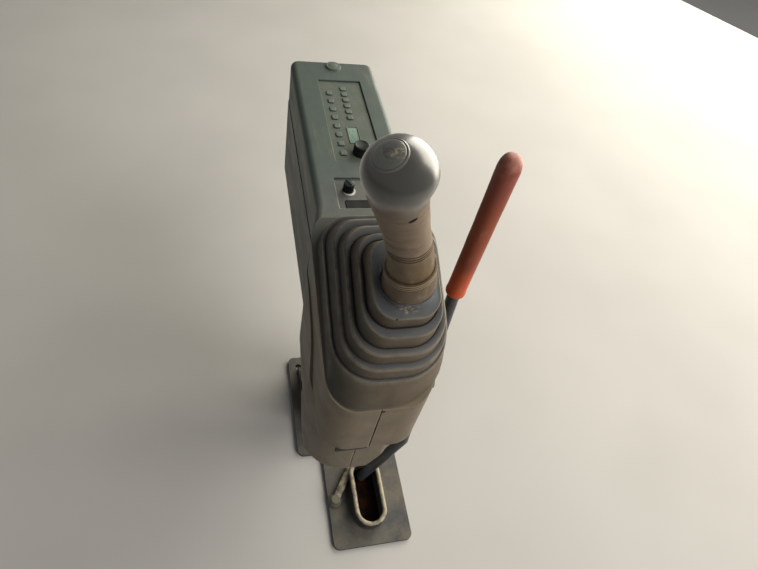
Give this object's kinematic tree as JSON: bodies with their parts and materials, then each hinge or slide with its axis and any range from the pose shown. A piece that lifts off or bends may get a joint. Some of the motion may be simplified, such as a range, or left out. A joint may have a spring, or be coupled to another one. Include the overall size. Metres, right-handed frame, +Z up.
{
  "type": "excavator cab control console",
  "caption": "Left-hand control console of a crawler excavator's cab, with a booted joystick, a radio, a switch panel and a lock lever on a bolted stand.",
  "frame": {"origin": "middle of the four floor bolts, on the underside of the base plate, which lies on the cab floor", "axes": "+Z up, +Y to the rear of the cab, +X to the cab's door side"},
  "size_m": [0.1735, 0.566, 0.7049],
  "materials": {
    "cover_plastic": "grained moulding, dusty",
    "boot_rubber": "moulded folds, dusty",
    "grip_plastic": "worn smooth",
    "lever_red": "sun-faded sleeve",
    "lever_paint": "black paint",
    "stand_paint": "dark grey paint",
    "floor_steel": "dark paint, dusty",
    "valve_iron": "as cast",
    "pivot_steel": "zinc plated",
    "hose_rubber": "black rubber",
    "radio_plastic": "dark grey-green",
    "knob_plastic": "black",
    "display_film": "pale green, unlit"
  },
  "bodies": {
    "console": {"base_plate": "floor_steel", "pedestal": "stand_paint", "carrier_plate": "stand_paint", "lower_cover": "cover_plastic", "upper_cover": "cover_plastic", "valve_block": "valve_iron", "valve_hoses": "hose_rubber", "pivot_yoke": "pivot_steel", "boot_folds": "boot_rubber", "radio_chassis": "pivot_steel", "radio_face": "radio_plastic", "radio_buttons": "radio_plastic", "radio_display": "display_film", "volume_knob": "knob_plastic", "switch_panel": "cover_plastic", "rotary_switch": "knob_plastic", "label_plate": "knob_plastic", "round_cap": "cover_plastic", "slot_collar": "hose_rubber", "lever_bracket": "lever_paint", "pivot_washer": "pivot_steel"},
    "gimbal": {"gimbal_ring": "pivot_steel"},
    "joystick": {"joystick_rod": "pivot_steel", "joystick_grip": "grip_plastic", "grip_cap": "grip_plastic", "boot_collar": "boot_rubber"},
    "lock_lever": {"lock_lever_rod": "lever_paint", "lock_lever_grip": "lever_red"}
  },
  "joints": [
    {"name": "joystick_fore_aft", "type": "hinge", "parent": "console", "child": "gimbal", "pos_m": [0, -0.15207, 0.405], "axis": [1, 0, 0], "range_deg": [-14, 14], "stiffness_Nm_per_rad": 20, "deforming": ["boot_folds"]},
    {"name": "joystick_side", "type": "hinge", "parent": "gimbal", "child": "joystick", "pos_m": [0, -0.15207, 0.405], "axis": [0, 1, 0], "range_deg": [-14, 14], "stiffness_Nm_per_rad": 20, "deforming": ["boot_folds"]},
    {"name": "lock_lever_swing", "type": "hinge", "parent": "console", "child": "lock_lever", "pos_m": [0.0881, -0.11765, 0.272], "axis": [1, 0, 0], "range_deg": [-13, 0]}
  ]
}
